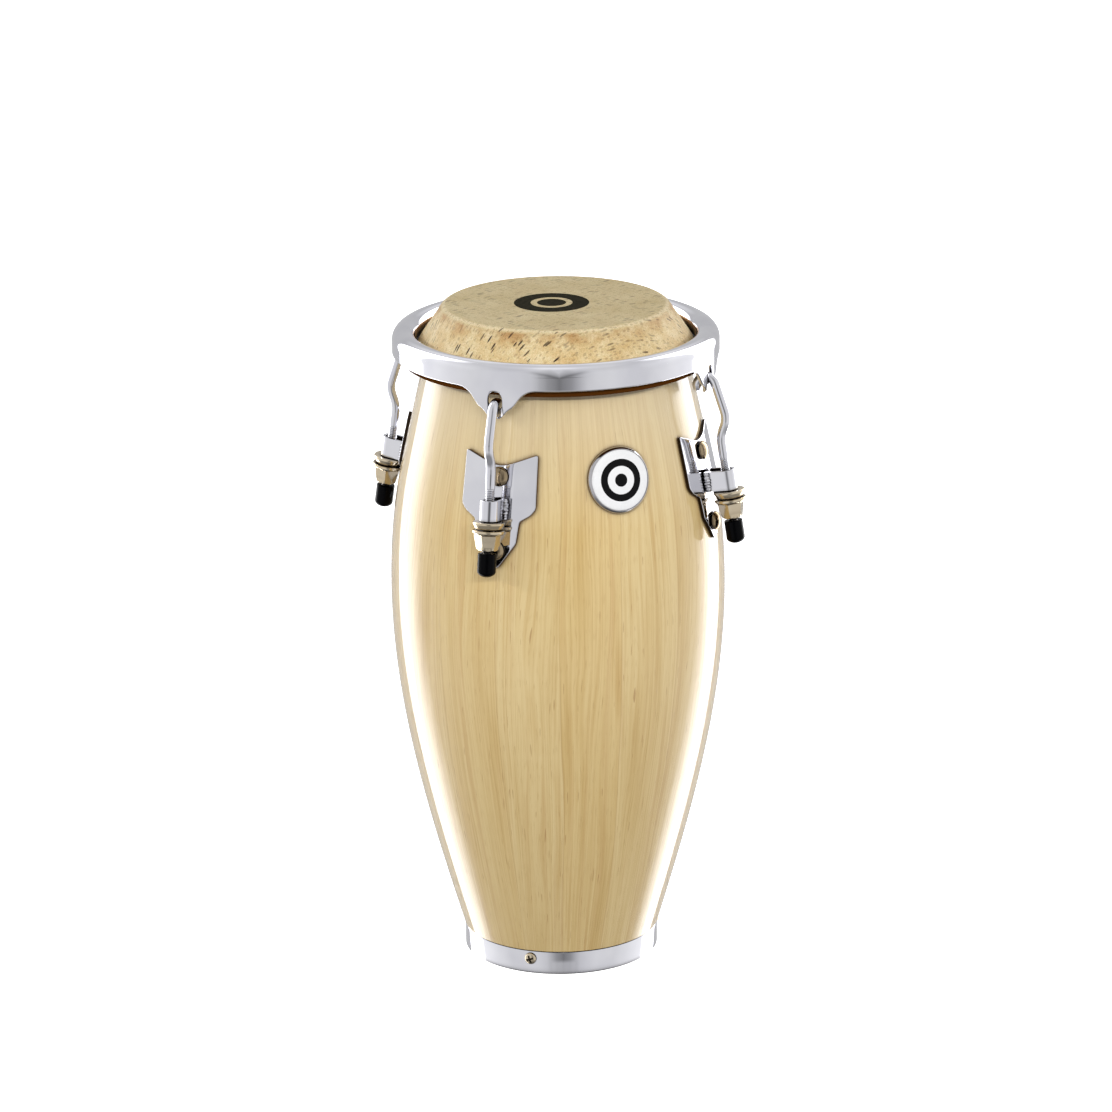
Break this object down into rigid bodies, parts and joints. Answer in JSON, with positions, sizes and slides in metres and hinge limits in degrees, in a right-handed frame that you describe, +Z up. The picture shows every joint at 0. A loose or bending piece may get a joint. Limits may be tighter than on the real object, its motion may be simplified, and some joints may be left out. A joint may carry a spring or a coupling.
{
  "type": "conga drum",
  "caption": "Small single conga drum with a staved wooden shell, tucked skin head, chromed rim, hook-rod tuning lugs and a metal base ring.",
  "frame": {"origin": "on the drum's axis, in the plane of the base ring's underside, which is the floor", "axes": "+Z up the drum's axis towards the head; -Y points out through the badge; the lugs are midway between the X and Y axes"},
  "size_m": [0.1394, 0.1394, 0.28],
  "materials": {
    "wood": "clear gloss lacquer over pale straight-grained rubberwood staves",
    "chrome": "polished chrome plating on pressed steel",
    "nickel": "bright warm nickel plating",
    "zinc": "dull zinc plating",
    "skin": "matt natural skin with dark flecks",
    "rubber": "matt black",
    "badge_metal": "chromed",
    "enamel": null
  },
  "bodies": {
    "root": {"shell": "wood", "base_ring": "chrome", "base_screw_1": "nickel", "base_screw_2": "nickel", "base_screw_3": "nickel", "drumhead_skin": "skin", "badge_backing": "badge_metal", "badge_face": "enamel", "lug_washer_front_right": "nickel", "rod_receiver_front_right": "chrome", "side_plate_front_right": "chrome", "plate_bolt_upper_front_right": "nickel", "inner_washer_upper_front_right": "zinc", "inner_nut_upper_front_right": "zinc", "plate_bolt_lower_front_right": "nickel", "inner_washer_lower_front_right": "zinc", "inner_nut_lower_front_right": "zinc", "lug_washer_back_right": "nickel", "rod_receiver_back_right": "chrome", "side_plate_back_right": "chrome", "plate_bolt_upper_back_right": "nickel", "inner_washer_upper_back_right": "zinc", "inner_nut_upper_back_right": "zinc", "plate_bolt_lower_back_right": "nickel", "inner_washer_lower_back_right": "zinc", "inner_nut_lower_back_right": "zinc", "lug_washer_back_left": "nickel", "rod_receiver_back_left": "chrome", "side_plate_back_left": "chrome", "plate_bolt_upper_back_left": "nickel", "inner_washer_upper_back_left": "zinc", "inner_nut_upper_back_left": "zinc", "plate_bolt_lower_back_left": "nickel", "inner_washer_lower_back_left": "zinc", "inner_nut_lower_back_left": "zinc", "lug_washer_front_left": "nickel", "rod_receiver_front_left": "chrome", "side_plate_front_left": "chrome", "plate_bolt_upper_front_left": "nickel", "inner_washer_upper_front_left": "zinc", "inner_nut_upper_front_left": "zinc", "plate_bolt_lower_front_left": "nickel", "inner_washer_lower_front_left": "zinc", "inner_nut_lower_front_left": "zinc"},
    "hoop": {"tension_rim": "chrome", "flesh_hoop": "zinc"},
    "hook_front_right": {"hook_rod_front_right": "chrome", "rod_cap_front_right": "rubber"},
    "nut_front_right": {"tuning_nut_front_right": "nickel"},
    "hook_back_right": {"hook_rod_back_right": "chrome", "rod_cap_back_right": "rubber"},
    "nut_back_right": {"tuning_nut_back_right": "nickel"},
    "hook_back_left": {"hook_rod_back_left": "chrome", "rod_cap_back_left": "rubber"},
    "nut_back_left": {"tuning_nut_back_left": "nickel"},
    "hook_front_left": {"hook_rod_front_left": "chrome", "rod_cap_front_left": "rubber"},
    "nut_front_left": {"tuning_nut_front_left": "nickel"}
  },
  "joints": [
    {"name": "hoop_slide", "type": "slide", "parent": "root", "child": "hoop", "axis": [0, 0, 1], "range_m": [-0.00485, 0.00087], "deforming": ["drumhead_skin"]},
    {"name": "hook_front_right_slide", "type": "slide", "parent": "root", "child": "hook_front_right", "axis": [-0.1082, 0.1082, 0.9882], "range_m": [-0.00492, 0.00089]},
    {"name": "tuning_nut_front_right_turn", "type": "hinge", "parent": "root", "child": "nut_front_right", "pos_m": [0.05286, -0.05286, 0.212], "axis": [-0.1082, 0.1082, 0.9882], "range_deg": [-450, 2520]},
    {"name": "hook_back_right_slide", "type": "slide", "parent": "root", "child": "hook_back_right", "axis": [-0.1082, -0.1082, 0.9882], "range_m": [-0.00492, 0.00089]},
    {"name": "tuning_nut_back_right_turn", "type": "hinge", "parent": "root", "child": "nut_back_right", "pos_m": [0.05286, 0.05286, 0.212], "axis": [-0.1082, -0.1082, 0.9882], "range_deg": [-450, 2520]},
    {"name": "hook_back_left_slide", "type": "slide", "parent": "root", "child": "hook_back_left", "axis": [0.1082, -0.1082, 0.9882], "range_m": [-0.00492, 0.00089]},
    {"name": "tuning_nut_back_left_turn", "type": "hinge", "parent": "root", "child": "nut_back_left", "pos_m": [-0.05286, 0.05286, 0.212], "axis": [0.1082, -0.1082, 0.9882], "range_deg": [-450, 2520]},
    {"name": "hook_front_left_slide", "type": "slide", "parent": "root", "child": "hook_front_left", "axis": [0.1082, 0.1082, 0.9882], "range_m": [-0.00492, 0.00089]},
    {"name": "tuning_nut_front_left_turn", "type": "hinge", "parent": "root", "child": "nut_front_left", "pos_m": [-0.05286, -0.05286, 0.212], "axis": [0.1082, 0.1082, 0.9882], "range_deg": [-450, 2520]}
  ],
  "couplings": [
    {"joint": "hook_front_right_slide", "follows": "hoop_slide", "ratio": 1.0119},
    {"joint": "hook_back_right_slide", "follows": "hoop_slide", "ratio": 1.0119},
    {"joint": "hook_back_left_slide", "follows": "hoop_slide", "ratio": 1.0119},
    {"joint": "hook_front_left_slide", "follows": "hoop_slide", "ratio": 1.0119}
  ]
}
